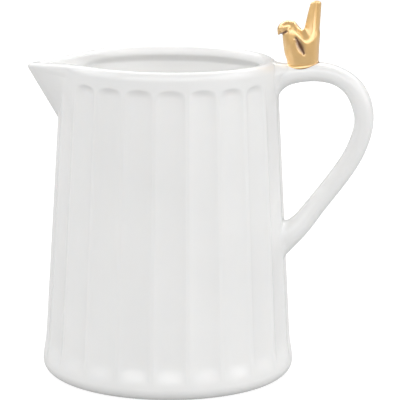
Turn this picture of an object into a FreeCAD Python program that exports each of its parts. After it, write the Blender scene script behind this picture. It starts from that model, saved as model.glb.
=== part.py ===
import FreeCAD, Part
import math
import os

os.makedirs("parts", exist_ok=True)

# Porcelain cream jug: a tall fluted, slightly tapered body with a cast-in V spout,
# a looped handle luted to the wall at two roots, and a gilded bird luted on the
# crown of the handle.
#
# Frame: millimetres, origin at the centre of the foot on the table, +Z up,
# handle toward +X, spout toward -X; the plane Y = 0 is the mirror plane.

V = FreeCAD.Vector

# ---------------------------------------------------------------- driving sizes
RIM_Z = 105.0  # height of the rim crest
CONE_LOW_Z = 12.1  # the straight taper starts here, above the flared toe
CONE_LOW_R = 40.93  # radius over the ribs at that height
CONE_TOP_R = 35.45  # radius the taper would have at the rim crest
TOE_FLARE = 1.04  # how far the toe swells beyond the start of the taper
TOE_R = CONE_LOW_R + TOE_FLARE  # widest radius, just above the foot
TOE_ROUND = 3.9  # rounding between the toe and the foot
FOOT_BAND = 5.0  # width of the flat unglazed foot ring
FOOT_RECESS = 2.0  # height of the recessed centre of the base
WALL = 3.7  # wall thickness of the cast body
FLOOR = 4.2  # thickness of the floor above the recess
HEEL_ROUND = 8.0  # inside rounding between wall and floor

FLUTES = 22  # flutes round the body
RIB = 1.2  # width of the rib left between two flutes
FLUTE_DISH = 0.5  # hollow of a flute, below the straight line between its ribs
ARCH_CROWN = RIM_Z - 5.6  # top of the scalloped end of a flute
ARCH_FOOT = RIM_Z - 7.7  # where the scallop meets the ribs
RUN_OUT_TOP = 9.5  # the flute floor starts to run out here
RUN_OUT_SLOPE = 1.35  # how far it comes out by the height of the toe

SPOUT_ROOT_Z = RIM_Z - 20.7  # where the keel of the spout leaves the wall
SPOUT_RUN = 0.615  # keel travel outward for each millimetre upward
SPOUT_REACH = CONE_TOP_R + 12.3  # tip of the spout from the axis
SPOUT_DIP = 2.7  # the tip sits this far under the rim crest
SPOUT_WALL = 4.0  # wall thickness across the spout flanks
SPOUT_EDGE = 0.9  # rounding down the keel of the spout
# height above the keel root and half angle of the V there
SPOUT_VEE = [(-5.0, 70.0), (3.0, 62.0), (10.0, 54.0), (16.0, 47.5), (23.0, 43.2)]

HANDLE_HALF = 4.3  # half the width of the handle strap across the loop
ROOT_SINK = 0.55 * WALL  # how deep the handle's form runs into the wall it is fitted to
# Stations along the handle, each an oval between an inner and an outer point. Every
# point is its distance out from the line of the ribs and its drop below the rim;
# the last value is extra half width.
HANDLE = [
    (-ROOT_SINK, 14.8, -ROOT_SINK, 1.5, 0.6),
    (0.5, 10.6, 1.0, 1.4, 0.4),
    (3.5, 8.0, 3.6, 1.1, 0.1),
    (8.0, 6.7, 8.1, 0.4, 0.0),
    (13.8, 6.4, 14.7, 0.2, 0.0),
    (18.7, 7.6, 21.7, 2.1, 0.0),
    (22.3, 10.8, 27.6, 6.7, 0.0),
    (24.2, 15.8, 30.6, 14.0, 0.0),
    (24.3, 20.6, 30.4, 21.6, 0.0),
    (21.7, 27.6, 27.4, 30.0, 0.0),
    (16.5, 35.6, 21.4, 39.4, 0.0),
    (8.4, 45.7, 13.2, 49.7, 0.1),
    (2.5, 52.2, 7.3, 57.3, 0.9),
    (-ROOT_SINK, 54.4, -ROOT_SINK, 66.8, 2.2),
]

SLIP_BEAD = 1.1  # how far a bead of slip stands out round a joint
SLIP_FEATHER = 0.25  # thickness of the bead where it dies out on the handle

BIRD_SEAT = RIM_Z - 0.2  # crown of the handle where the bird stands
PERCH_X = CONE_TOP_R + 8.2  # middle of the bird, out from the axis
# Level sections of the bird: height above the crown of the handle, front and rear
# measured from the middle of the perch, half width.
TRUNK = [
    (-3.4, -4.1, 4.7, 3.0),
    (-0.3, -4.8, 5.2, 3.5),
    (3.0, -5.9, 5.5, 4.2),
    (6.2, -6.5, 5.9, 4.4),
    (8.6, -6.5, 6.0, 3.7),
    (10.0, -5.5, 5.7, 2.5),
]
TAIL = [
    (5.0, -0.3, 5.7, 2.6),
    (9.0, 0.3, 6.1, 2.6),
    (14.0, 1.2, 6.2, 2.2),
    (18.0, 2.1, 6.1, 1.7),
    (20.2, 3.0, 5.3, 1.0),
]
HEAD_R = 3.4
HEAD_X = PERCH_X - 4.5
HEAD_UP = 10.4  # centre of the head above the handle crown
BEAK_REACH = 3.6  # from the centre of the head to the blunt tip
BEAK_DROP = 1.3
BEAK_R = 0.75
SKIRT = 0.55  # how far the bird's skirt of slip flares out
SKIRT_H = 1.2  # height of the skirt over the handle crown


def cone_r(z):
    """Radius over the ribs at height z."""
    slope = (CONE_TOP_R - CONE_LOW_R) / (RIM_Z - CONE_LOW_Z)
    return CONE_LOW_R + slope * (z - CONE_LOW_Z)


def pt(x, z):
    return V(x, 0.0, z)


def line(a, b):
    return Part.LineSegment(a, b).toShape()


def arc(a, mid, b):
    return Part.Arc(a, mid, b).toShape()


def blend(a, ta, tb, b):
    """A smooth curve from a to b leaving toward ta and arriving from tb."""
    curve = Part.BezierCurve()
    curve.setPoles([a, ta, tb, b])
    return curve.toShape()


def turned(edges):
    """The solid swept by a closed half profile turned round the Z axis."""
    face = Part.Face(Part.Wire(edges))
    return face.revolve(V(0, 0, 0), V(0, 0, 1), 360)


def loft(wires):
    return Part.makeLoft(wires, True, False)


def outer_form():
    """Outside of the body, solid, with its rounded lip and recessed base."""
    lip = WALL / 2.0
    z_lip = RIM_Z - lip
    foot_r = TOE_R - TOE_ROUND
    s = math.sqrt(0.5)
    toe_mid = pt(foot_r + TOE_ROUND * s, TOE_ROUND * (1 - s))
    toe_top = pt(TOE_R, TOE_ROUND)
    low = pt(CONE_LOW_R, CONE_LOW_Z)
    rise = (CONE_LOW_Z - TOE_ROUND) / 3.0
    out = pt(cone_r(z_lip), z_lip)
    crest = pt(cone_r(z_lip) - lip, RIM_Z)
    over = pt(cone_r(z_lip) - lip + lip * s, z_lip + lip * s)
    hollow_r = foot_r - FOOT_BAND
    edges = [
        line(pt(0, FOOT_RECESS), pt(hollow_r, FOOT_RECESS)),
        line(pt(hollow_r, FOOT_RECESS), pt(hollow_r, 0)),
        line(pt(hollow_r, 0), pt(foot_r, 0)),
        arc(pt(foot_r, 0), toe_mid, toe_top),
        blend(toe_top, toe_top + pt(0, rise), pt(cone_r(CONE_LOW_Z - rise), CONE_LOW_Z - rise), low),
        line(low, out),
        arc(out, over, crest),
        line(crest, pt(0, RIM_Z)),
        line(pt(0, RIM_Z), pt(0, FOOT_RECESS)),
    ]
    return turned(edges)


def cavity():
    """The hollow of the body, opening through the inner half of the lip."""
    lip = WALL / 2.0
    z_lip = RIM_Z - lip
    crest_r = cone_r(z_lip) - lip
    s = math.sqrt(0.5)
    floor_z = FOOT_RECESS + FLOOR
    heel_z = floor_z + HEEL_ROUND
    heel_r = cone_r(heel_z) - WALL
    heel_mid = pt(heel_r - HEEL_ROUND * (1 - s), heel_z - HEEL_ROUND * s)
    edges = [
        line(pt(0, floor_z), pt(heel_r - HEEL_ROUND, floor_z)),
        arc(pt(heel_r - HEEL_ROUND, floor_z), heel_mid, pt(heel_r, heel_z)),
        line(pt(heel_r, heel_z), pt(crest_r - lip, z_lip)),
        arc(pt(crest_r - lip, z_lip), pt(crest_r - lip * s, z_lip + lip * s), pt(crest_r, RIM_Z)),
        line(pt(crest_r, RIM_Z), pt(crest_r, RIM_Z + 5)),
        line(pt(crest_r, RIM_Z + 5), pt(0, RIM_Z + 5)),
        line(pt(0, RIM_Z + 5), pt(0, floor_z)),
    ]
    return turned(edges)


def flute_depth(z):
    """How far the middle of a flute lies inside the line of the ribs."""
    return cone_r(z) * (1 - math.cos(math.pi / FLUTES)) + FLUTE_DISH


def groove_r(z):
    """Radius of the hollow of a flute where it is cut at height z."""
    width = 2 * cone_r(z) * math.sin(math.pi / FLUTES) - RIB
    return width * width / (8.0 * FLUTE_DISH)


def flute_cutter():
    """One flute on the +X side: a shallow hollow with an arched top and a run-out foot."""
    low, high = 2.0, ARCH_CROWN + 1.0
    r1, r2 = groove_r(low), groove_r(high)
    a = pt(cone_r(low) - flute_depth(low) + r1, low)
    b = pt(cone_r(high) - flute_depth(high) + r2, high)
    hollow = Part.makeCone(r1, r2, (b - a).Length, a, b - a)
    x = cone_r(ARCH_FOOT) - 3.0
    half = cone_r(ARCH_FOOT) * math.sin(math.pi / FLUTES) - RIB / 2.0
    half_low = cone_r(low) * math.sin(math.pi / FLUTES) - RIB / 2.0
    p = [V(x, -half_low, low), V(x, -half, ARCH_FOOT), V(x, 0, ARCH_CROWN)]
    q = [V(x, half, ARCH_FOOT), V(x, half_low, low)]
    outline = Part.Wire([line(p[0], p[1]), arc(p[1], p[2], q[0]), line(q[0], q[1]), line(q[1], p[0])])
    panel = Part.Face(outline).extrude(V(12, 0, 0))
    floor_r = cone_r(RUN_OUT_TOP) - flute_depth(RUN_OUT_TOP)
    ramp = Part.makeCone(
        floor_r + RUN_OUT_SLOPE * RUN_OUT_TOP / (RUN_OUT_TOP - TOE_ROUND), floor_r, RUN_OUT_TOP
    )
    return hollow.common(panel).cut(ramp)


def spout_section(up, vee, inset):
    """A level V section of the spout, set in from the outside by the wall given."""
    z = SPOUT_ROOT_Z + up
    beta = math.radians(vee)
    c, s = math.cos(beta), math.sin(beta)
    reach = cone_r(SPOUT_ROOT_Z) + SPOUT_RUN * up - inset / s
    inner = cone_r(z) - WALL / 2.0 - (inset + 1.0 if inset else 0.0)
    run = reach * c - math.sqrt(max(0.0, inner**2 - (reach * s) ** 2))
    r = SPOUT_EDGE
    start = r / math.tan(beta)
    nose = -reach + r / s - r
    side = [V(-reach + start * c, -start * s, z), V(-reach + run * c, -run * s, z)]
    other = [V(p.x, -p.y, z) for p in side]
    edges = [
        line(side[1], side[0]),
        arc(side[0], V(nose, 0, z), other[0]),
        line(other[0], other[1]),
        line(other[1], side[1]),
    ]
    return Part.Wire(edges)


def spout_form(inset):
    return loft([spout_section(up, vee, inset) for up, vee in SPOUT_VEE])


def spout_trim():
    """Everything beyond the spout's tip and above its dipping lip."""
    far = SPOUT_REACH + 20.0
    start = cone_r(RIM_Z) * math.cos(math.radians(43.0)) - 0.5
    drop = SPOUT_DIP * (far - start) / (SPOUT_REACH - start)
    side = [pt(-start, RIM_Z), pt(-far, RIM_Z - drop), pt(-far, RIM_Z + 20)]
    side += [pt(20, RIM_Z + 20), pt(20, RIM_Z)]
    face = Part.Face(Part.makePolygon(side + [side[0]]))
    above = face.extrude(V(0, 160, 0))
    above.translate(V(0, -80, 0))
    beyond = Part.makeBox(20, 60, 60, V(-SPOUT_REACH - 20, -30, RIM_Z - 50))
    return above.fuse(beyond)


def jug_body():
    flute = flute_cutter()
    flutes = []
    for k in range(FLUTES):
        one = flute.copy()
        one.rotate(V(0, 0, 0), V(0, 0, 1), k * 360.0 / FLUTES)
        flutes.append(one)
    body = outer_form().cut(flutes)
    body = body.fuse(spout_form(0.0))
    body = body.cut([spout_trim(), cavity(), spout_form(SPOUT_WALL)])
    return body


def ring_wire(mid, axis, along, across):
    """A smooth closed oval in the plane of the given axis and Y, centred on mid."""
    side = V(0, 1, 0)
    count = 16
    points = []
    for k in range(count):
        t = 2 * math.pi * k / count
        points.append(mid + axis * (along * math.cos(t)) + side * (across * math.sin(t)))
    curve = Part.BSplineCurve()
    curve.interpolate(points, PeriodicFlag=True)
    return Part.Wire(curve.toShape())


def off_wall(out, drop):
    """A point in the mirror plane, out from the line of the ribs and below the rim."""
    z = RIM_Z - drop
    return pt(cone_r(z) + out, z)


def station_wire(station, grow=0.0):
    out_in, drop_in, out_out, drop_out, extra = station
    a, b = off_wall(out_in, drop_in), off_wall(out_out, drop_out)
    half = (b - a).Length / 2.0
    return ring_wire((a + b) * 0.5, (b - a).normalize(), half + grow, HANDLE_HALF + extra + grow)


def handle_form():
    return loft([station_wire(s) for s in HANDLE])


def level_wire(row, grow=0.0):
    up, front, rear, half = row
    mid = pt(PERCH_X + (front + rear) / 2.0, BIRD_SEAT + up)
    return ring_wire(mid, V(1, 0, 0), (rear - front) / 2.0 + grow, half + grow)


def bird_form():
    trunk = loft([level_wire(row) for row in TRUNK])
    tail = loft([level_wire(row) for row in TAIL])
    middle = pt(HEAD_X, BIRD_SEAT + HEAD_UP)
    head = Part.makeSphere(HEAD_R, middle)
    aim = pt(-BEAK_REACH, -BEAK_DROP)
    beak = Part.makeCone(HEAD_R * 0.72, BEAK_R, aim.Length, middle, aim)
    return trunk.multiFuse([tail, head, beak])


def root_bead(near, far, share):
    """A bead of slip round a handle root: full at the wall, thin where it ends."""
    mix = [p + (q - p) * share for p, q in zip(near, far)]
    return loft([station_wire(near, SLIP_BEAD), station_wire(mix, SLIP_FEATHER)])


def skirt_form():
    low = (-2.6, TRUNK[0][1] - 0.8, TRUNK[0][2] + 0.8, TRUNK[0][3] + 0.9)
    rim = (0.1, TRUNK[1][1], TRUNK[1][2], TRUNK[1][3])
    top = (SKIRT_H, TRUNK[1][1] - 0.25, TRUNK[1][2] + 0.1, TRUNK[1][3] + 0.28)
    return loft([level_wire(low), level_wire(rim, SKIRT), level_wire(top, 0.05)])


def largest(shape):
    """The biggest solid of a cut, without the slivers a cut may leave."""
    solids = sorted(shape.Solids, key=lambda s: s.Volume)
    return solids[-1]


def build():
    body = largest(jug_body())
    strap = handle_form()
    handle = largest(strap.cut(body))
    bird = largest(bird_form().cut(strap))
    upper = root_bead(HANDLE[0], HANDLE[2], 0.75).cut([body, strap])
    lower = root_bead(HANDLE[-1], HANDLE[-2], 0.72).cut([body, strap])
    skirt = skirt_form().cut([bird, strap])
    return {
        "jug_body": body,
        "handle": handle,
        "bird": bird,
        "upper_handle_slip": largest(upper),
        "lower_handle_slip": largest(lower),
        "bird_slip": largest(skirt),
    }


for name, shape in build().items():
    shape.exportStep("parts/" + name + ".step")
    box = shape.BoundBox
    print(name, shape.ShapeType, len(shape.Solids), shape.isValid(), round(shape.Volume), len(shape.Faces))
    print("    from", round(box.XMin, 2), round(box.YMin, 2), round(box.ZMin, 2))
    print("    to", round(box.XMax, 2), round(box.YMax, 2), round(box.ZMax, 2))
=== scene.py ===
import math

import bpy
import numpy as np
from mathutils import Matrix, Vector


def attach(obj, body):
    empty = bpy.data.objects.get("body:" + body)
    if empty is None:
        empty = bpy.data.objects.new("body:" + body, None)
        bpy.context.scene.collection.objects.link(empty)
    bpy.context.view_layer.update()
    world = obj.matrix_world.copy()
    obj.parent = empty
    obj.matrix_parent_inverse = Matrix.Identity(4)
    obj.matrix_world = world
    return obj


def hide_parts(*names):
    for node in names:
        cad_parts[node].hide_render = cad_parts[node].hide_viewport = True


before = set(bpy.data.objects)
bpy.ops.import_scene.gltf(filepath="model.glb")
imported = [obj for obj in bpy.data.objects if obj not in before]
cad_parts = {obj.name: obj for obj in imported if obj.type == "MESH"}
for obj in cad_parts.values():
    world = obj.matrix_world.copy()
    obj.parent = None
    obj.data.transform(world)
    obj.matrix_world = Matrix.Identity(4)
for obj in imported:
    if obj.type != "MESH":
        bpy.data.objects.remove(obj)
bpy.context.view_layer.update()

# The object's sizes are millimetres in the CAD frame: Z up, the handle toward +X, the spout
# toward -X. make_mesh scales them to metres. The stage, lamps and camera are in metres.
MM = 0.001

# ------------------------------------------------------------------ body sizes
RIM_Z = 105.0
# The wall's straight taper, from the top of the toe's flare up to the rim.
CONE_LOW_Z, CONE_LOW_R, CONE_TOP_R = 12.1, 40.93, 35.45
# The toe: the height and radius of its widest point, and the rounding below that.
TOE_Z, TOE_R, TOE_ROUND = 3.9, 41.97, 3.9
# Hollow under the foot, width of the bearing band, height of the floor and rounding of its corner.
FOOT_RECESS, FOOT_BAND, FLOOR_Z, HEEL_ROUND = 2.0, 5.0, 6.2, 8.0
WALL = 3.7
# How far down the lip rounds: outside, inside, and along the spout.
LIP_OUT, LIP_IN, SPOUT_LIP = 3.4, 2.7, 1.1
# How far the lip stands in, how deep the wall is undercut below it, and its extra at the handle.
LIP_PROUD, UNDERCUT, LIP_AT_ROOT = 0.6, 0.9, 1.1
# Exponents of the lip's oval outside and inside, and the angle from the spout where it tightens.
LIP_BULGE_OUT, LIP_BULGE_IN, LIP_TIGHTENS = 2.1, 2.6, 0.85
FOLLOW_Z = 84.0  # above this the body's rings bend to follow the dip of the lip
# Flutes: how many, and the width of the rib between two.
FLUTES, RIB = 22, 1.25
PITCH = 2 * math.pi / FLUTES
# Arches: height at the crown and at the foot, and the fall over which a flute reaches its depth.
ARCH_CROWN, ARCH_FOOT, ARCH_STEP = 99.5, 97.2, 2.5
ARCH_HALF = 0.47  # half the width of an arch as a share of the pitch
# Heights over which the flutes run out above the toe.
RUN_OUT_TOP, RUN_OUT_END = 11.0, 4.9
# How far a flute is dished below flat, the dish's exponent, and its extra depth near the arch.
DISH, DISH_POWER, ARCH_EXTRA = 0.5, 2.4, 0.35
FADE_AT_SPOUT, FADE_AT_HANDLE = 2.40, 0.47  # radians round from the handle
# The spout: height of its root, how far it runs out per height, its reach, and its lip's dip.
SPOUT_ROOT_Z, SPOUT_RUN, SPOUT_REACH, SPOUT_DIP = 84.3, 0.615, 47.75, 2.7
DIP_FROM, DIP_EASE = math.radians(43.0), 0.12  # where the dip starts, and how softly
# Its wall, how fast its side falls away past square, its extra reach, and a bound on its radius.
SPOUT_WALL, SPOUT_FADE, SPOUT_PROUD, SPOUT_FAR = 4.0, 120.0, 0.45, 60.0
SPOUT_BLEND_OUT, SPOUT_BLEND_IN = 0.55, 1.2
SPOUT_NOSE, SPOUT_NOSE_BACK = 0.014, 0.012  # rounding of the spout's front edge, in radians
# Half angle of the spout's V in degrees, at these heights.
SPOUT_VEE_Z = [79.3, 87.3, 94.3, 100.3, 107.3]
SPOUT_VEE = [70.0, 62.0, 54.0, 47.5, 43.6]


def cone_r(z):
    """Radius over the ribs on the straight taper."""
    return CONE_LOW_R + (CONE_TOP_R - CONE_LOW_R) * (z - CONE_LOW_Z) / (RIM_Z - CONE_LOW_Z)


def smooth(t):
    """Eases from 0 to 1 as t goes from 0 to 1."""
    t = np.clip(t, 0.0, 1.0)
    return t * t * (3 - 2 * t)


def soft_max(a, b, k):
    """The larger of a and b, with the crease between them rounded over about k."""
    return 0.5 * (a + b + np.sqrt((a - b) ** 2 + k * k))


def from_handle(theta):
    """Angle round from the middle of the handle, from 0 to pi."""
    return np.abs(np.mod(theta + math.pi, 2 * math.pi) - math.pi)


def from_spout(theta):
    """Angle round from the middle of the spout, from 0 to pi."""
    return np.abs(np.mod(theta, 2 * math.pi) - math.pi)


def outline_r(z):
    """Radius over the ribs: the taper, flaring out to the toe, then rounding to the foot."""
    z = np.asarray(z, float)
    flare = smooth((CONE_LOW_Z + 1.0 - z) / (CONE_LOW_Z + 1.0 - TOE_Z))
    top = cone_r(z) + flare * (TOE_R - cone_r(np.full_like(z, TOE_Z)))
    d = np.clip(TOE_Z - z, 0.0, TOE_ROUND)
    toe = TOE_R - TOE_ROUND + np.sqrt(np.maximum(TOE_ROUND**2 - d**2, 0.0))
    return np.where(z < TOE_Z, toe, top)


def flute_recess(theta, z):
    """Depth of the flutes: dished between narrow rounded ribs, arched at the top, run out at the toe."""
    u = np.mod(theta / PITCH + 0.5, 1.0) - 0.5
    r = cone_r(z)
    edge = 0.5 - RIB / (2.0 * r * PITCH)
    extra = ARCH_EXTRA * smooth((z - ARCH_CROWN + 14.0) / 12.0)
    deep = r * (1 - math.cos(PITCH / 2)) + DISH + extra
    dish = deep * (1 - np.abs(u / edge) ** DISH_POWER)
    dish = soft_max(dish, -0.10, 0.16) - 0.04
    dish = np.maximum(dish, 0.0)
    x = np.clip(np.abs(u) / ARCH_HALF, 0.0, 1.0)
    crown = ARCH_FOOT + (ARCH_CROWN - ARCH_FOOT) * np.sqrt(1 - 0.9 * x**2)
    below = soft_max((crown - z) / ARCH_STEP, 0.0, 0.10) - 0.01
    arch = 1 - (1 - np.clip(below, 0.0, 1.0)) ** 2
    run_out = smooth((z - RUN_OUT_END) / (RUN_OUT_TOP - RUN_OUT_END))
    turn = from_handle(theta)
    beside = np.maximum(smooth((turn - FADE_AT_SPOUT) / 0.08), smooth((FADE_AT_HANDLE - turn) / 0.1))
    return dish * arch * run_out * (1 - beside * smooth((z - FOLLOW_Z) / 14.0))


def spout_r(theta, z, inset):
    """Polar radius of the V of the spout, set in by a wall thickness."""
    phi = from_spout(theta)
    beta = np.radians(np.interp(z, SPOUT_VEE_Z, SPOUT_VEE))
    keel = cone_r(SPOUT_ROOT_Z) + SPOUT_RUN * (z - SPOUT_ROOT_Z) + SPOUT_PROUD
    keel = -soft_max(-keel, -(SPOUT_REACH + 0.15), 0.5)
    phi = np.sqrt(phi**2 + SPOUT_NOSE**2) - SPOUT_NOSE_BACK
    away = keel * np.sin(beta) - inset
    lean = phi - (math.pi / 2 - beta)
    r = away / np.cos(np.clip(lean, -1.45, 0.0)) - SPOUT_FADE * np.maximum(lean, 0.0) ** 2
    return np.where(keel < 20, 0.0, np.maximum(r, 0.0))


def body_r(theta, z):
    """Outer radius: the fluted wall, with the spout growing out of it."""
    outer = outline_r(z) - flute_recess(theta, z)
    return soft_max(outer, np.minimum(spout_r(theta, z, 0.0), SPOUT_FAR), SPOUT_BLEND_OUT)


def cavity_r(theta, z):
    """Inner radius: the wall draws back under the thickened rim, and fills out again lower down."""
    under = smooth((RIM_Z - 2.4 - z) / 3.2)
    drawn_back = (LIP_PROUD + UNDERCUT) * under - LIP_PROUD
    filled_out = UNDERCUT * under * (1 - smooth((z - 50.0) / 40.0))
    behind_root = LIP_AT_ROOT * (1 - under) * np.exp(-((from_handle(theta) / 0.42) ** 2))
    inner = cone_r(z) - WALL + (drawn_back - filled_out) - behind_root
    return soft_max(inner, np.minimum(spout_r(theta, z, SPOUT_WALL), SPOUT_FAR), SPOUT_BLEND_IN)


def rim_z(theta, r):
    """Height of the lip's crest, dipping along the spout to its tip."""
    x = -r * np.cos(theta)
    start = CONE_TOP_R * math.cos(DIP_FROM) - 2.0
    t = np.clip((x - start) / (SPOUT_REACH - start), 0.0, 1.0)
    return RIM_Z - SPOUT_DIP * (t * t / (t + DIP_EASE)) * (1 + DIP_EASE)


def lip_height(theta, full):
    """Height over which the lip rounds: broad round the mouth, tighter along the spout."""
    return full + (SPOUT_LIP - full) * smooth((LIP_TIGHTENS - from_spout(theta)) / 0.4)


# ------------------------------------------------------------------ mesh helpers
def make_mesh(name, verts, faces):
    """A smooth-shaded object from points in millimetres."""
    mesh = bpy.data.meshes.new(name)
    mesh.from_pydata([tuple(v) for v in np.asarray(verts) * MM], [], faces)
    mesh.update()
    mesh.shade_smooth()
    obj = bpy.data.objects.new(name, mesh)
    bpy.context.scene.collection.objects.link(obj)
    return obj


def grid_faces(rows, cols):
    """Quads of a grid of points whose columns close on themselves."""
    faces = []
    for i in range(rows - 1):
        for j in range(cols):
            k = (j + 1) % cols
            faces.append((i * cols + j, i * cols + k, (i + 1) * cols + k, (i + 1) * cols + j))
    return faces


def close_ends(verts, faces, rows, cols, first, last):
    """Closes a tube of rows with a fan of triangles round a point at each end."""
    start = (rows - 1) * cols
    low, high = len(verts), len(verts) + 1
    faces += [(low, (j + 1) % cols, j) for j in range(cols)]
    faces += [(high, start + j, start + (j + 1) % cols) for j in range(cols)]
    return np.concatenate([verts, [first], [last]])


# ------------------------------------------------------------------ the body
def body_angles():
    """Columns round the body, closer together at each rib and close round the spout."""
    share = np.array([0.0, 0.09, 0.18, 0.26, 0.33, 0.38, 0.415, 0.438, 0.456, 0.472, 0.486, 0.5])
    half = np.concatenate([-share[::-1], share[1:-1]])
    marks = [k * PITCH + s * PITCH for k in range(FLUTES) for s in half]
    fine = np.concatenate([np.arange(0.0, 0.09, 0.006), np.arange(0.09, 0.85, 0.012)])
    marks += [math.pi + f for f in fine] + [math.pi - f for f in fine]
    marks = np.sort(np.mod(np.array(marks), 2 * math.pi))
    keep = [marks[0]]
    for m in marks[1:]:
        if m - keep[-1] > 0.0028:
            keep.append(m)
    return np.array(keep)


def outer_heights():
    """Heights of the outside's rings, closer together at the toe and at the arches and lip."""
    parts = [
        TOE_ROUND * (1 - np.cos(np.linspace(0.06, math.pi / 2, 14))),
        np.linspace(4.2, 14.0, 36),
        np.linspace(15.0, 83.0, 42),
        np.linspace(83.6, 94.6, 26),
        np.linspace(94.8, RIM_Z, 62),
    ]
    return np.concatenate(parts)


def underside_rings():
    """Radius and height of each ring: the glazed hollow and its edge, then the flat bearing band."""
    foot_r = TOE_R - TOE_ROUND
    hollow_r = foot_r - FOOT_BAND
    quarter = np.linspace(0.0, math.pi / 2, 7)
    hollow = []
    for r in (6.0, 14.0, 22.0, 28.0, hollow_r - 1.6, hollow_r - 0.9):
        hollow.append((r, FOOT_RECESS + 0.5 - 0.5 * (r / hollow_r) ** 4))
    for a in quarter:
        hollow.append((hollow_r - 0.9 + 0.8 * math.sin(a), FOOT_RECESS - 0.55 + 0.5 * math.cos(a)))
    for a in quarter:
        hollow.append((hollow_r + 0.6 - 0.6 * math.cos(a), 0.6 - 0.6 * math.sin(a)))
    bearing = [(r, 0.0) for r in np.linspace(hollow_r + 1.0, foot_r - 0.2, 5)]
    return hollow, bearing


def outer_rings(theta):
    """The outside, whose upper rings bend down towards the spout with the lip."""
    rings = []
    for z in outer_heights():
        level = np.full_like(theta, z)
        if z > FOLLOW_Z:
            share = smooth((z - FOLLOW_Z) / (RIM_Z - FOLLOW_Z))
            for _ in range(3):
                drop = RIM_Z - rim_z(theta, body_r(theta, level))
                level = z - (drop + lip_height(theta, LIP_OUT)) * share
        rings.append((body_r(theta, level), level))
    return rings


def lip_rings(theta, r_out, z_out):
    """The rolled lip, from the last ring of the outside over to the first ring of the inside."""
    z_in = z_out
    for _ in range(3):
        r_in = cavity_r(theta, z_in)
        crest = (r_out + r_in) / 2
        high = rim_z(theta, crest)
        z_in = high - lip_height(theta, LIP_IN)
    half = (r_out - r_in) / 2
    rings = []
    for a in np.linspace(0.0, math.pi, 25)[1:-1]:
        c, s = math.cos(a), math.sin(a)
        base = z_out if c > 0 else z_in
        power = 2 / (LIP_BULGE_OUT if c > 0 else LIP_BULGE_IN)
        across = half * math.copysign(abs(c) ** power, c)
        rings.append((crest + across, base + (high - base) * abs(s) ** power))
    rings.append((r_in, z_in))
    return rings


def inner_rings(theta, z_in):
    """The inside, from just under the lip down to the floor."""
    rings = []
    lip_z = RIM_Z - LIP_IN
    bands = np.linspace(102.0, 99.4, 14), np.linspace(99.0, 97.0, 4), np.linspace(95.5, FOLLOW_Z, 8)
    for z in np.concatenate(bands):
        share = smooth((z - FOLLOW_Z) / (lip_z - FOLLOW_Z))
        level = z - (lip_z - z_in) * share
        rings.append((cavity_r(theta, level), level))
    heel_z = FLOOR_Z + HEEL_ROUND
    for z in np.linspace(82.0, heel_z + 1.0, 26):
        rings.append((cavity_r(theta, np.full_like(theta, z)), z))
    heel_r = cone_r(heel_z) - WALL
    for a in np.linspace(0.0, math.pi / 2, 14):
        rings.append((heel_r - HEEL_ROUND * (1 - math.cos(a)), heel_z - HEEL_ROUND * math.sin(a)))
    return rings + [(r, FLOOR_Z) for r in (26.0, 20.0, 13.0, 6.0)]


def build_body():
    """The body as one closed mesh, and the material slot of each face: 1 on the bare foot ring."""
    theta = body_angles()
    n = len(theta)
    hollow, bearing = underside_rings()
    outer = outer_rings(theta)
    lip = lip_rings(theta, *outer[-1])
    rings = [*hollow, *bearing, *outer, *lip, *inner_rings(theta, lip[-1][1])]
    rows = []
    for r, z in rings:
        rows.append(np.stack(np.broadcast_arrays(r * np.cos(theta), r * np.sin(theta), z), axis=1))
    faces = grid_faces(len(rows), n)
    under, floor = (0, 0, FOOT_RECESS + 0.5), (0, 0, FLOOR_Z)
    verts = close_ends(np.concatenate(rows), faces, len(rows), n, under, floor)
    glazed, unglazed = (len(hollow) - 3) * n, (3 + len(bearing)) * n
    slots = [0] * glazed + [1] * unglazed + [0] * (len(faces) - glazed - unglazed)
    return make_mesh("porcelain_body", verts, faces), slots


# ------------------------------------------------------------------ handle
HANDLE_HALF, HANDLE_POWER = 4.3, 2.3  # half width of the strap, exponent of its oval
ROOT_SINK = 0.55 * WALL
HANDLE_SIDES, ROOT_SIDES = 56, 96
# Inner point out from the wall and down from the rim, outer point likewise, extra half width.
HANDLE = [
    (-ROOT_SINK, 14.8, -ROOT_SINK, 1.1, 0.6),
    (0.5, 10.6, 1.0, 1.05, 0.4),
    (3.5, 8.0, 3.6, 0.85, 0.1),
    (8.0, 6.7, 8.1, 0.4, 0.0),
    (13.8, 6.4, 14.7, 0.2, 0.0),
    (18.7, 7.6, 21.7, 2.1, 0.0),
    (22.3, 10.8, 27.6, 6.7, 0.0),
    (24.2, 15.8, 30.6, 14.0, 0.0),
    (24.3, 20.6, 30.4, 21.6, 0.0),
    (21.7, 27.6, 27.4, 30.0, 0.0),
    (16.5, 35.6, 21.4, 39.4, 0.0),
    (8.4, 45.7, 13.2, 49.7, 0.1),
    (2.5, 52.2, 7.3, 57.3, 0.9),
    (-ROOT_SINK, 54.4, -ROOT_SINK, 66.8, 2.2),
]


def off_wall(out, drop):
    """X and Z of a point so far out from the wall and so far down from the rim."""
    z = RIM_Z - drop
    return np.array([cone_r(z) + out, z])


def spline(points, t):
    """Natural cubic curve through points at whole numbers of t, for each row of points."""
    p = np.asarray(points, float)
    n = len(p)
    a = np.zeros((n, n))
    b = np.zeros_like(p)
    a[0, 0] = a[-1, -1] = 1.0
    for i in range(1, n - 1):
        a[i, i - 1 : i + 2] = (1.0, 4.0, 1.0)
        b[i] = 6.0 * (p[i - 1] - 2 * p[i] + p[i + 1])
    m = np.linalg.solve(a, b)
    t = np.clip(np.asarray(t, float), 0.0, n - 1.0)
    i = np.minimum(t.astype(int), n - 2)
    f = (t - i)[:, None]
    g = 1 - f
    bend = (g**3 - g) * m[i] + (f**3 - f) * m[i + 1]
    return g * p[i] + f * p[i + 1] + bend / 6.0


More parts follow.
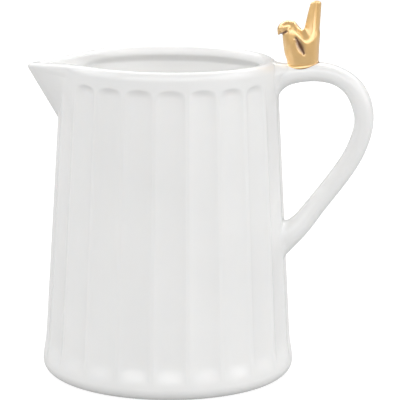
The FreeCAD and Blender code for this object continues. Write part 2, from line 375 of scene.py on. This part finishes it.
def handle_rows():
    """Inner X and Z, outer X and Z, and half width at each station of the handle."""
    table = []
    for out_in, drop_in, out_out, drop_out, extra in HANDLE:
        inner, outer = off_wall(out_in, drop_in), off_wall(out_out, drop_out)
        table.append([*inner, *outer, HANDLE_HALF + extra])
    return np.array(table)


def handle_point(t, a):
    """Point of the handle's skin at station t and angle a round the oval, for arrays."""
    row = spline(handle_rows(), t)
    mid = (row[:, 0:2] + row[:, 2:4]) / 2
    reach = (row[:, 2:4] - row[:, 0:2]) / 2
    c, s = np.cos(a), np.sin(a)
    power = 2 / HANDLE_POWER
    c = np.sign(c) * np.abs(c) ** power
    s = np.sign(s) * np.abs(s) ** power
    return np.stack([mid[:, 0] + reach[:, 0] * c, row[:, 4] * s, mid[:, 1] + reach[:, 1] * c], axis=1)


def build_handle():
    """The looped strap, with closer rings at its two roots."""
    around = HANDLE_SIDES
    roots = np.linspace(0.0, 2.0, 24), np.linspace(11.1, 13.0, 26)
    stations = np.concatenate([roots[0], np.linspace(2.1, 11.0, 110), roots[1]])
    angles = np.linspace(0, 2 * math.pi, around, endpoint=False)
    rows = [handle_point(np.full(around, t), angles) for t in stations]
    faces = grid_faces(len(rows), around)
    ends = rows[0].mean(0), rows[-1].mean(0)
    verts = close_ends(np.concatenate(rows), faces, len(rows), around, *ends)
    return make_mesh("porcelain_handle", verts, faces)


def wall_x(y, z):
    """X of the body's outside on the handle's side, above the given Y and Z."""
    x = cone_r(z)
    for _ in range(6):
        theta = np.arctan2(y, x)
        lip = np.clip((z - (RIM_Z - LIP_OUT)) / LIP_OUT, 0.0, 1.0)
        r = body_r(theta, np.minimum(z, RIM_Z - LIP_OUT)) - WALL / 2 * (1 - np.sqrt(1 - lip**2))
        x = np.sqrt(np.maximum(r**2 - y**2, 1.0))
    return x


def meeting_stations(near, far, angles):
    """Station, for each angle round the handle, where its skin leaves the wall; near lies inside it."""
    low, high = np.full_like(angles, near), np.full_like(angles, far)
    for _ in range(30):
        mid = (low + high) / 2
        p = handle_point(mid, angles)
        inside = p[:, 0] < wall_x(p[:, 1], p[:, 2])
        low = np.where(inside, mid, low)
        high = np.where(inside, high, mid)
    return (low + high) / 2


def foot_on_wall(meet, spread_out):
    """Points on the wall at a distance outside the loop of points where the handle meets it."""
    along = np.roll(meet, -1, axis=0) - np.roll(meet, 1, axis=0)
    out = np.stack([along[:, 2], -along[:, 1]], axis=1)
    out /= np.linalg.norm(out, axis=1)[:, None]
    centre = meet[:, 1:3].mean(0)
    sign = np.sign(((meet[:, 1:3] - centre) * out).sum(1).sum())
    y, z = (meet[:, 1:3] + out * sign * spread_out[:, None]).T
    z = np.minimum(z, RIM_Z - 0.12)
    return np.stack([wall_x(y, z) - 0.06, y, z], axis=1)


def build_root(name, near, far, spread_out, climb, full):
    """A fillet of slip from the wall up the handle's skin; full draws it out of the corner.

    These three are a size round the sides and below, and what is added to it on top."""
    around = ROOT_SIDES
    angles = np.linspace(0, 2 * math.pi, around, endpoint=False)
    on_top = smooth(np.cos(angles) * 2)
    spread_out, climb, full = (plain + more * on_top for plain, more in (spread_out, climb, full))
    station = meeting_stations(near, far, angles)
    meet = handle_point(station, angles)
    core = meet.mean(0)
    ahead = math.copysign(0.01, far - near)
    rate = np.linalg.norm(handle_point(station + ahead, angles) - meet, axis=1) / abs(ahead)
    upper = handle_point(station + math.copysign(1.0, far - near) * climb / rate, angles)
    upper = upper + (core - upper) * 0.012
    foot = foot_on_wall(meet, spread_out)
    bend = meet + ((foot + upper) / 2 - meet) * full[:, None]
    rows = []
    for f in np.linspace(0.0, 1.0, 11):
        g = 1 - f
        rows.append(g * g * foot + 2 * g * f * bend + f * f * upper)
    under = meet + (core - meet) * 0.25 - np.array([0.6, 0, 0])
    for f in np.linspace(0.0, 1.0, 4)[1:]:
        rows.append(upper + (under - upper) * f)
    last = (len(rows) - 1) * around
    faces = grid_faces(len(rows), around)
    for j in range(around):
        k = (j + 1) % around
        faces.append((last + j, last + k, k, j))
    return make_mesh(name, np.concatenate(rows), faces)


# ------------------------------------------------------------------ bird
PERCH_X = CONE_TOP_R + 8.2
CROWN_Z = RIM_Z - 0.2
TRUNK_POWER, SLIP_POWER, TAIL_POWER, TAIL_LEAD = 2.4, 2.15, 1.7, 0.35
CROWN_HALF = 3.2  # half the handle's thickness under the bird
# Height, front X and rear X about the perch, half width: level sections of trunk and tail.
TRUNK = [
    (-4.0, -4.2, 4.2, 2.8),
    (-1.0, -4.7, 4.5, 3.3),
    (0.8, -5.1, 4.5, 3.5),
    (3.0, -5.8, 4.6, 3.6),
    (6.0, -6.3, 4.8, 3.55),
    (8.5, -6.55, 4.8, 3.3),
    (10.5, -6.5, 4.7, 2.95),
    (12.5, -5.6, 4.5, 2.3),
    (14.5, -4.4, 4.3, 1.9),
]
TAIL = [
    (5.0, -0.5, 5.2, 2.9),
    (9.0, 0.2, 5.45, 2.7),
    (11.2, 0.6, 5.55, 2.3),
    (15.3, 1.4, 5.75, 1.65),
    (19.0, 2.3, 5.9, 1.3),
    (22.0, 3.0, 5.95, 1.05),
]
TAIL_TOP = 20.15
# In side view, about the perch: the wing's groove, the crease under the head, and the beak.
WING = ((-1.9, 8.1), (0.7, 3.3))
CREASE = ((-7.3, 8.95), (-4.5, 10.55))
BEAK = ((-7.1, 10.1), (-7.7, 9.1))
HEAD, HEAD_RADII, HEAD_TILT = (-5.5, 11.2), (2.95, 2.3, 2.15), math.radians(31.0)
# The line of the back: level on the neck, down at a slope, level in the saddle before the tail.
NECK_TOP, SADDLE, BACK_Z, BACK_SLOPE, BACK_FROM = 12.7, 9.2, 12.0, 1.04, -1.75
BEAD = 0.82  # radius of the rolled skirt


def soft_min(a, b, k):
    """The smaller of a and b, blended within k of each other."""
    h = np.clip(0.5 + 0.5 * (b - a) / k, 0.0, 1.0)
    return b + (a - b) * h - k * h * (1 - h)


def column(x, y, z, table, power, lead=0.0):
    """Rough distance to a solid whose level sections are ovals, fullest towards the rear by lead."""
    smoothed = spline(table, np.linspace(0, len(table) - 1, 80))
    up = z - CROWN_Z
    front, rear, half = (np.interp(up, smoothed[:, 0], smoothed[:, k]) for k in (1, 2, 3))
    reach = (rear - front) / 2
    along = np.clip((x - PERCH_X - (front + rear) / 2) / reach, -1.6, 1.6)
    along = along - lead * np.maximum(1 - along**2, 0.0)
    ratio = (np.abs(along) ** power + np.abs(y / half) ** power) ** (1 / power)
    return (ratio - 1) * np.minimum(reach, half)


def egg(x, y, z, centre, radii, tilt):
    """Rough distance to an ellipsoid whose long axis rises towards the rear by tilt."""
    dx, dz = x - PERCH_X - centre[0], z - CROWN_Z - centre[1]
    c, s = math.cos(tilt), math.sin(tilt)
    p = (dx * c + dz * s, y, dz * c - dx * s)
    near = np.sqrt(sum((v / r) ** 2 for v, r in zip(p, radii)))
    rate = np.sqrt(sum((v / r**2) ** 2 for v, r in zip(p, radii)))
    return near * (near - 1) / np.maximum(rate, 1e-6)


def handle_skin(x, y, z):
    """Rough distance to the crown of the handle under the bird."""
    top = CROWN_Z - 0.012 * (x - PERCH_X - 6.0) ** 2
    axis = top - CROWN_HALF
    return np.sqrt(((z - axis) / CROWN_HALF) ** 2 + (y / HANDLE_HALF) ** 2) * CROWN_HALF - CROWN_HALF


def between(x, z, a, b):
    """Distance in side view from the line between two points given about the perch."""
    (ax, az), (bx, bz) = a, b
    dx, dz = x - PERCH_X - ax, z - CROWN_Z - az
    run, rise = bx - ax, bz - az
    t = np.clip((dx * run + dz * rise) / (run**2 + rise**2), 0, 1)
    return np.hypot(dx - t * run, dz - t * rise), t


def wing_groove(x, y, z):
    """One at the middle of the groove in front of each wing, falling to nothing at its edges."""
    line, t = between(x, z, *WING)
    width = 0.4 + 0.65 * np.sin(math.pi * np.clip(t, 0.03, 0.97))
    return np.exp(-((line / width) ** 2)) * smooth((np.abs(y) - 1.2) / 1.2)


def chin_crease(x, y, z):
    """One along the crease under the cap of the head."""
    line, t = between(x, z, *CREASE)
    return np.exp(-((line / 0.38) ** 2)) * (1 - smooth((t - 0.75) / 0.25))


def bird_field(x, y, z):
    """Negative inside the bird: the trunk cut to the line of the back, the tail, the head and beak."""
    out, up = x - PERCH_X, z - CROWN_Z
    trunk = column(x, y, z, TRUNK, TRUNK_POWER)
    back = soft_max(SADDLE, BACK_Z - BACK_SLOPE * (out - BACK_FROM), 1.0)
    back = soft_min(back, NECK_TOP, 0.8) - 0.2 * np.minimum(np.abs(y), 4.0) ** 2
    trunk = -soft_min(-trunk, (back - up) * 0.7, 0.7)
    head = egg(x, y, z, HEAD, HEAD_RADII, HEAD_TILT)
    line, t = between(x, z, *BEAK)
    beak = np.hypot(line, y) - (0.95 - 0.5 * t)
    tail = column(x, y, z, TAIL, TAIL_POWER, TAIL_LEAD)
    tail = -soft_min(-tail, TAIL_TOP - 0.16 * (out - 4.2) ** 2 - up, 0.6)
    shape = soft_min(trunk, tail, 1.5)
    head = soft_min(head, beak, 0.6)
    shape = soft_min(shape, head, 0.15 + 1.5 * smooth((out + 4.4) / 1.6))
    return shape + 0.5 * wing_groove(x, y, z) + 0.2 * chin_crease(x, y, z)


def painted_groove_shade(x, y, z):
    """How deep in a groove a point of the bird lies, as painted shade that darkens the gold there."""
    return np.clip(wing_groove(x, y, z) * 1.15 + 1.3 * chin_crease(x, y, z), 0.0, 1.0)


def painted_contact_shade(x, y, z):
    """Painted shade where the lustre ends on the handle: a dark line of contact shadow on the gold."""
    return 0.85 * (1 - smooth((handle_skin(x, y, z) - 0.2) / 0.4))


def slip_field(x, y, z):
    """A rolled bead where the trunk meets the crown of the handle."""
    trunk = column(x, y, z, TRUNK, SLIP_POWER)
    skin = handle_skin(x, y, z)
    return np.hypot(np.maximum(trunk, 0.0), np.maximum(skin, 0.0)) - BEAD


def net_points(f):
    """A point in each cell that the zero level passes through, and the number of each such cell."""
    shape = np.array(f.shape) - 1
    total = np.zeros((*shape, 3))
    count = np.zeros(shape)
    for axis in range(3):
        lo, hi = [slice(None)] * 3, [slice(None)] * 3
        lo[axis], hi[axis] = slice(0, -1), slice(1, None)
        a, b = f[tuple(lo)], f[tuple(hi)]
        cross = (a < 0) != (b < 0)
        t = np.where(cross, a / np.where(cross, a - b, 1.0), 0.0)
        others = [o for o in range(3) if o != axis]
        for i, j in ((0, 0), (0, 1), (1, 0), (1, 1)):
            part = [slice(None)] * 3
            part[others[0]] = slice(i, i + shape[others[0]])
            part[others[1]] = slice(j, j + shape[others[1]])
            c, tt = cross[tuple(part)], t[tuple(part)]
            count += c
            total[..., axis] += np.where(c, tt, 0.0)
            total[..., others[0]] += c * i
            total[..., others[1]] += c * j
    used = count > 0
    number = -np.ones(shape, int)
    number[used] = np.arange(used.sum())
    cell = np.stack(np.nonzero(used), axis=1)
    return cell + total[used] / count[used][:, None], number


def net_quads(f, number):
    """A quad across each grid edge that the zero level crosses, facing out of the solid."""
    quads = []
    for axis in range(3):
        o1, o2 = (axis + 1) % 3, (axis + 2) % 3
        lo, hi = [slice(1, -1)] * 3, [slice(1, -1)] * 3
        lo[axis], hi[axis] = slice(0, -1), slice(1, None)
        a, b = f[tuple(lo)], f[tuple(hi)]
        index = np.stack(np.nonzero((a < 0) != (b < 0)), axis=1)
        inward = (a < 0)[tuple(index.T)]
        base = index.copy()
        base[:, [o1, o2]] += 1
        ring = []
        for d1, d2 in ((0, 0), (1, 0), (1, 1), (0, 1)):
            cell = base.copy()
            cell[:, o1] -= d1
            cell[:, o2] -= d2
            ring.append(number[tuple(cell.T)])
        quad = np.stack(ring, axis=1)
        quads.append(np.where(inward[:, None], quad, quad[:, ::-1]))
    return np.concatenate(quads)


def surface_net(field, low, high, step):
    """Vertices and quads on the zero level of a field sampled on a regular grid."""
    axes = [np.arange(a, b + step, step) for a, b in zip(low, high)]
    x, y, z = np.meshgrid(*axes, indexing="ij")
    f = field(x, y, z)
    for side in (0, -1):
        f[side], f[:, side], f[:, :, side] = 1.0, 1.0, 1.0
    points, number = net_points(f)
    return points * step + np.array(low), net_quads(f, number)


def relax(verts, quads, rounds, amount):
    """Evens out the small steps of the grid by moving each point towards its neighbours."""
    n = len(verts)
    for _ in range(rounds):
        total, count = np.zeros((n, 3)), np.zeros(n)
        for k in range(4):
            a, b = quads[:, k], quads[:, (k + 1) % 4]
            np.add.at(total, a, verts[b])
            np.add.at(count, a, 1)
            np.add.at(total, b, verts[a])
            np.add.at(count, b, 1)
        verts = verts + (total / count[:, None] - verts) * amount
    return verts


def build_field(name, field, dark, low, high, step):
    """A piece from its field; dark says how much painted shade darkens the gold from point to point."""
    verts, quads = surface_net(field, low, high, step)
    verts = relax(verts, quads, 3, 0.5)
    obj = make_mesh(name, verts, [tuple(q) for q in quads.tolist()])
    # the hollow attribute carries painted shade for the gold material
    hollow = obj.data.attributes.new("hollow", "FLOAT", "POINT")
    hollow.data.foreach_set("value", dark(verts[:, 0], verts[:, 1], verts[:, 2]))
    return obj


# ------------------------------------------------------------------ materials
GLAZE_DARK, GLAZE_LIGHT = (0.875, 0.875, 0.868), (0.90, 0.898, 0.89)
BISQUE_DARK, BISQUE_LIGHT = (0.70, 0.68, 0.64), (0.80, 0.785, 0.75)
GOLD_DARK, GOLD_LIGHT = (0.91, 0.56, 0.215), (0.95, 0.625, 0.26)
# painted shade: the dark brown put on the gold in its grooves and where the skirt meets the handle
PAINTED_SHADE_BROWN = (0.15, 0.055, 0.007)


def new_material(name):
    """A material, its node tree and its shader."""
    mat = bpy.data.materials.new(name)
    mat.use_nodes = True
    tree = mat.node_tree
    return mat, tree, tree.nodes["Principled BSDF"]


def noise(tree, scale, detail=3.0, rough=0.5, distortion=0.0):
    """Noise from 0 to 1 in the piece's own frame, scale to the metre."""
    coord = tree.nodes.new("ShaderNodeTexCoord")
    node = tree.nodes.new("ShaderNodeTexNoise")
    node.inputs["Scale"].default_value = scale
    node.inputs["Detail"].default_value = detail
    node.inputs["Roughness"].default_value = rough
    node.inputs["Distortion"].default_value = distortion
    tree.links.new(coord.outputs["Object"], node.inputs["Vector"])
    return node.outputs["Fac"]


def spread(tree, value, low, high, to_low=0.0, to_high=1.0):
    """Maps low to high onto to_low to to_high."""
    node = tree.nodes.new("ShaderNodeMapRange")
    node.inputs["From Min"].default_value = low
    node.inputs["From Max"].default_value = high
    node.inputs["To Min"].default_value = to_low
    node.inputs["To Max"].default_value = to_high
    tree.links.new(value, node.inputs["Value"])
    return node.outputs["Result"]


def mix_colour(tree, fac, a, b):
    """Colour a where fac is 0, and b where it is 1."""
    node = tree.nodes.new("ShaderNodeMix")
    node.data_type = "RGBA"
    node.inputs["A"].default_value = (*a, 1.0)
    node.inputs["B"].default_value = (*b, 1.0)
    tree.links.new(fac, node.inputs["Factor"])
    return node.outputs["Result"]


def along(tree, space, axis):
    """One axis of a texture coordinate: of an object's own frame, or of a direction in the world."""
    coord = tree.nodes.new("ShaderNodeTexCoord")
    split = tree.nodes.new("ShaderNodeSeparateXYZ")
    tree.links.new(coord.outputs[space], split.inputs["Vector"])
    return split.outputs[axis]


def bump(tree, height, strength, distance, normal=None):
    """A normal raised by height, on top of another normal if there is one."""
    node = tree.nodes.new("ShaderNodeBump")
    node.inputs["Strength"].default_value = strength
    node.inputs["Distance"].default_value = distance
    tree.links.new(height, node.inputs["Height"])
    if normal is not None:
        tree.links.new(normal, node.inputs["Normal"])
    return node.outputs["Normal"]


def porcelain():
    """Glossy white glaze over a slightly translucent body, with a faint orange-peel surface."""
    mat, tree, shader = new_material("glazed_porcelain")
    cloud = spread(tree, noise(tree, 38.0, 4.0), 0.35, 0.65)
    tone = mix_colour(tree, cloud, GLAZE_DARK, GLAZE_LIGHT)
    tree.links.new(tone, shader.inputs["Base Color"])
    sheen = spread(tree, noise(tree, 90.0, 3.0), 0.3, 0.7, 0.20, 0.27)
    tree.links.new(sheen, shader.inputs["Roughness"])
    shader.inputs["IOR"].default_value = 1.5
    shader.inputs["Subsurface Weight"].default_value = 0.12
    shader.inputs["Subsurface Radius"].default_value = (1.0, 0.9, 0.8)
    shader.inputs["Subsurface Scale"].default_value = 0.0012
    fine = bump(tree, noise(tree, 900.0, 2.0), 0.05, 0.0001)
    tree.links.new(fine, shader.inputs["Normal"])
    return mat


def bisque():
    """Bare fired clay, matt and grainy, where the foot was wiped clean of glaze."""
    mat, tree, shader = new_material("bare_foot_ring")
    tone = mix_colour(tree, noise(tree, 700.0, 5.0, 0.7), BISQUE_DARK, BISQUE_LIGHT)
    tree.links.new(tone, shader.inputs["Base Color"])
    shader.inputs["Roughness"].default_value = 0.8
    grain = bump(tree, noise(tree, 2600.0, 4.0, 0.7), 0.35, 0.0001)
    tree.links.new(grain, shader.inputs["Normal"])
    return mat


def gold():
    """A thin film of gold over the glaze, with painted shade: dark brown in its grooves and where the
    skirt meets the handle.
    """
    mat, tree, shader = new_material("gold_lustre")
    cloud = spread(tree, noise(tree, 260.0, 4.0, 0.6), 0.3, 0.7)
    tone = mix_colour(tree, cloud, GOLD_DARK, GOLD_LIGHT)
    # the hollow attribute darkens the gold: painted shade in the grooves and at the skirt's edge on the
    # handle
    hollow = tree.nodes.new("ShaderNodeAttribute")
    hollow.attribute_name = "hollow"
    shaded_tone = mix_colour(tree, hollow.outputs["Fac"], (0, 0, 0), PAINTED_SHADE_BROWN)
    tree.links.new(tone, shaded_tone.node.inputs["A"])
    tree.links.new(shaded_tone, shader.inputs["Base Color"])
    shader.inputs["Metallic"].default_value = 0.55
    sheen = spread(tree, noise(tree, 420.0, 4.0, 0.6), 0.3, 0.7, 0.30, 0.38)
    tree.links.new(sheen, shader.inputs["Roughness"])
    shader.inputs["Coat Weight"].default_value = 1.0
    shader.inputs["Coat IOR"].default_value = 1.75
    shader.inputs["Coat Roughness"].default_value = 0.1
    wave = bump(tree, noise(tree, 300.0, 1.0), 0.1, 0.0004)
    brush = bump(tree, noise(tree, 1500.0, 3.0, 0.5, 0.4), 0.08, 0.0001, wave)
    tree.links.new(brush, shader.inputs["Normal"])
    return mat


# ------------------------------------------------------------------ the object
PORCELAIN, BISQUE, GOLD = porcelain(), bisque(), gold()


def dress(obj, material, slot, *nodes):
    """Gives a piece its material, hangs it under the root and hides the CAD nodes it stands for."""
    obj.data.materials.append(material)
    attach(obj, "root")
    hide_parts(*nodes)


def build_object():
    body, slots = build_body()
    dress(body, PORCELAIN, "porcelain", "jug_body")
    body.data.materials.append(BISQUE)
    body.data.polygons.foreach_set("material_index", slots)
    dress(build_handle(), PORCELAIN, "porcelain", "handle")
    upper = build_root("upper_handle_fillet", 0.0, 2.6, (2.0, -0.6), (2.2, 2.6), (0.0, 0.55))
    dress(upper, PORCELAIN, "porcelain", "upper_handle_slip")
    lower = build_root("lower_handle_fillet", 13.0, 11.0, (2.0, 0.0), (2.6, 0.0), (0.0, 0.0))
    dress(lower, PORCELAIN, "porcelain", "lower_handle_slip")
    low = (PERCH_X - 9.0, -5.6, CROWN_Z - 4.2)
    high = (PERCH_X + 7.6, 5.6, CROWN_Z + 21.2)
    slip_high = (PERCH_X + 7.6, 5.6, CROWN_Z + 2.4)
    step = 0.13
    # the third argument of each piece paints shade into its gold
    bird = build_field("gilded_bird", bird_field, painted_groove_shade, low, high, step)
    dress(bird, GOLD, "gold_lustre", "bird")
    skirt = build_field("gilded_skirt", slip_field, painted_contact_shade, low, slip_high, step)
    dress(skirt, GOLD, "gold_lustre", "bird_slip")


# ------------------------------------------------------------------ the stage
PAPER, GLOW_FRONT, GLOW_BACK, GLOW_SEEN = 0.3, 0.02, 0.22, 0.6
GLOW_RISE = (-0.30, -0.08)  # Y in metres over which the glow grows from front to back
TABLE_R, TABLE_SIDES, TABLE_DROP = 4.0, 96, 0.0001
HORIZON, ZENITH = 0.2, 0.3
AIM = Vector((0.0, 0.0, 0.06))
# Soft boxes: name, place, width and height in metres, power in watts.
LAMPS = [
    ("front", (0.0, -1.35, 0.75), (2.6, 0.8), 14.8),
    ("left", (-1.3, -0.2, 0.8), (1.4, 0.9), 7.1),
    ("right", (1.3, -0.2, 0.7), (1.4, 0.9), 9.3),
    ("back_left", (-0.95, 0.75, 0.85), (1.3, 0.9), 3.0),
    ("back_top", (0.0, 0.8, 1.0), (2.0, 0.7), 13.1),
]


def paper():
    """Pale paper, lit through from below round and behind the object, as on a light table.

    It is brighter to the camera than the light it gives, as a background burnt out to white is."""
    mat, tree, shader = new_material("pale_paper")
    shader.inputs["Base Color"].default_value = (PAPER, PAPER, PAPER, 1.0)
    shader.inputs["Roughness"].default_value = 0.9
    shader.inputs["Specular IOR Level"].default_value = 0.0
    glow = spread(tree, along(tree, "Object", "Y"), *GLOW_RISE, GLOW_FRONT, GLOW_BACK)
    path = tree.nodes.new("ShaderNodeLightPath")
    seen = spread(tree, path.outputs["Is Camera Ray"], 0.0, 1.0, 0.0, GLOW_SEEN)
    total = tree.nodes.new("ShaderNodeMath")
    tree.links.new(glow, total.inputs[0])
    tree.links.new(seen, total.inputs[1])
    shader.inputs["Emission Color"].default_value = (1.0, 1.0, 1.0, 1.0)
    tree.links.new(total.outputs["Value"], shader.inputs["Emission Strength"])
    return mat


def build_stage():
    """A wide round floor, a hair below the foot."""
    mesh = bpy.data.meshes.new("table")
    angles = np.linspace(0, 2 * math.pi, TABLE_SIDES, endpoint=False)
    edge = [(TABLE_R * math.cos(a), TABLE_R * math.sin(a), 0.0) for a in angles]
    faces = [(0, i + 1, (i + 1) % TABLE_SIDES + 1) for i in range(TABLE_SIDES)]
    mesh.from_pydata([(0.0, 0.0, 0.0), *edge], [], faces)
    floor = bpy.data.objects.new("table", mesh)
    bpy.context.scene.collection.objects.link(floor)
    floor.location.z = -TABLE_DROP
    mesh.materials.append(paper())


def area_light(name, place, size, power):
    """A soft box that faces the middle of the object."""
    data = bpy.data.lights.new(name, "AREA")
    data.shape = "RECTANGLE"
    data.size, data.size_y = size
    data.energy = power
    lamp = bpy.data.objects.new(name, data)
    lamp.location = place
    lamp.rotation_euler = (AIM - Vector(place)).to_track_quat("-Z", "Y").to_euler()
    bpy.context.scene.collection.objects.link(lamp)


def build_world():
    """Pale surroundings, from the horizon up to straight overhead."""
    world = bpy.data.worlds.new("studio")
    bpy.context.scene.world = world
    world.use_nodes = True
    tree = world.node_tree
    level = spread(tree, along(tree, "Generated", "Z"), 0.0, 1.0, HORIZON, ZENITH)
    tree.links.new(level, tree.nodes["Background"].inputs["Strength"])
    tree.nodes["Background"].inputs["Color"].default_value = (1.0, 1.0, 1.0, 1.0)


def build_light():
    build_world()
    for name, place, size, power in LAMPS:
        area_light(name, place, size, power)


# ------------------------------------------------------------------ the camera
# Turn round the object and roll, the point looked at, then distance, tilt and focal length.
TURN, ROLL = math.radians(6.5), math.radians(0.4547)
AXIS_OFF, LOOK_Z = 0.010417, 0.057571
DISTANCE, PITCH_DOWN, LENS = 0.6864, math.radians(11.668), 185.45


def build_camera():
    """A long lens in front of the object, a little round towards the handle and above it."""
    data = bpy.data.cameras.new("camera")
    data.sensor_width = 36.0
    data.lens = LENS
    data.clip_start, data.clip_end = 0.05, 20.0
    cam = bpy.data.objects.new("camera", data)
    right = Vector((math.cos(TURN), math.sin(TURN), 0.0))
    ahead = Vector((-math.sin(TURN), math.cos(TURN), 0.0))
    look = right * AXIS_OFF + Vector((0, 0, LOOK_Z))
    view = ahead * math.cos(PITCH_DOWN) - Vector((0, 0, math.sin(PITCH_DOWN)))
    cam.location = look - view * DISTANCE
    up = right.cross(view)
    basis = Matrix((right, up, -view)).transposed()
    basis = basis @ Matrix.Rotation(ROLL, 3, "Z")
    cam.rotation_euler = basis.to_euler()
    bpy.context.scene.collection.objects.link(cam)
    bpy.context.scene.camera = cam


build_object()
build_stage()
build_light()
build_camera()
bpy.context.scene.view_settings.view_transform = "Standard"
